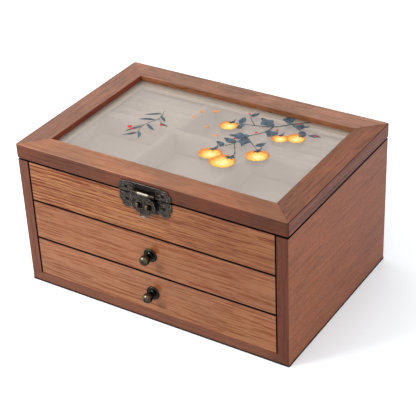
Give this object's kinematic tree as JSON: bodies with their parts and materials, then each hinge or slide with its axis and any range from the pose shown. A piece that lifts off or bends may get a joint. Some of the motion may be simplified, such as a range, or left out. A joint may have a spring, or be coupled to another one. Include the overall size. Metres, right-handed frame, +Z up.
{
  "type": "keepsake box with drawers",
  "caption": "Free-standing wooden keepsake box: a hinged lid with an inset pane over a padded tray, a front hasp latch, and drawers below with round knobs.",
  "frame": {"origin": "centre of the felt face on the underside", "axes": "+Z up, -Y towards the front with the latch and knobs, +X to the right seen from the front, along the longest side"},
  "size_m": [0.2864, 0.2149, 0.151],
  "materials": {
    "frame_wood": "satin, reddish brown stain over straight grain",
    "front_wood": "satin, lighter orange brown with wavy open grain",
    "inner_wood": "plain sanded, lightly stained",
    "velvet": "short beige pile",
    "felt": "dark felt",
    "glass": "slightly hazy pane with a printed branch",
    "bronze": "dark antique bronze, worn bright on raised edges",
    "steel": "zinc plated"
  },
  "bodies": {
    "case": {"back_panel": "frame_wood", "base_felt": "felt", "bottom_board": "frame_wood", "drawer_shelf": "inner_wood", "false_front": "front_wood", "hinge_body_leaves": "bronze", "hinge_body_screws": "steel", "hinge_pins": "bronze", "latch_lower_nails": "bronze", "latch_lower_plate": "bronze", "left_side": "frame_wood", "right_side": "frame_wood", "ring_rolls_left": "velvet", "ring_rolls_right": "velvet", "tray_cross_partitions": "velvet", "tray_floor": "inner_wood", "tray_floor_pad": "velvet", "tray_front_wall": "inner_wood", "tray_long_partition": "velvet", "tray_wall_lining": "velvet"},
    "lid": {"lid_back_rail": "frame_wood", "lid_front_rail": "frame_wood", "lid_glass": "glass", "lid_left_rail": "frame_wood", "lid_right_rail": "frame_wood", "glass_beads": "inner_wood", "hinge_lid_leaves": "bronze", "hinge_lid_screws": "steel", "latch_upper_plate": "bronze", "latch_pin": "bronze", "latch_upper_nails": "bronze"},
    "hasp": {"hasp": "bronze"},
    "upper_drawer": {"upper_drawer_back": "inner_wood", "upper_drawer_bottom": "inner_wood", "upper_drawer_front": "front_wood", "upper_drawer_knob": "bronze", "upper_drawer_knob_plate": "bronze", "upper_drawer_knob_screw": "steel", "upper_drawer_left_side": "inner_wood", "upper_drawer_lining": "velvet", "upper_drawer_right_side": "inner_wood"},
    "lower_drawer": {"lower_drawer_back": "inner_wood", "lower_drawer_bottom": "inner_wood", "lower_drawer_front": "front_wood", "lower_drawer_knob": "bronze", "lower_drawer_knob_plate": "bronze", "lower_drawer_knob_screw": "steel", "lower_drawer_left_side": "inner_wood", "lower_drawer_lining": "velvet", "lower_drawer_right_side": "inner_wood"}
  },
  "joints": [
    {"name": "lid_hinge", "type": "hinge", "parent": "case", "child": "lid", "pos_m": [0, 0.1001, 0.136], "axis": [-1, 0, 0], "range_deg": [0, 97]},
    {"name": "hasp_swing", "type": "hinge", "parent": "lid", "child": "hasp", "pos_m": [0.0005, -0.1004, 0.1396], "axis": [-1, 0, 0], "range_deg": [0, 160]},
    {"name": "upper_drawer_slide", "type": "slide", "parent": "case", "child": "upper_drawer", "axis": [0, -1, 0], "range_m": [0, 0.12]},
    {"name": "lower_drawer_slide", "type": "slide", "parent": "case", "child": "lower_drawer", "axis": [0, -1, 0], "range_m": [0, 0.12]}
  ]
}
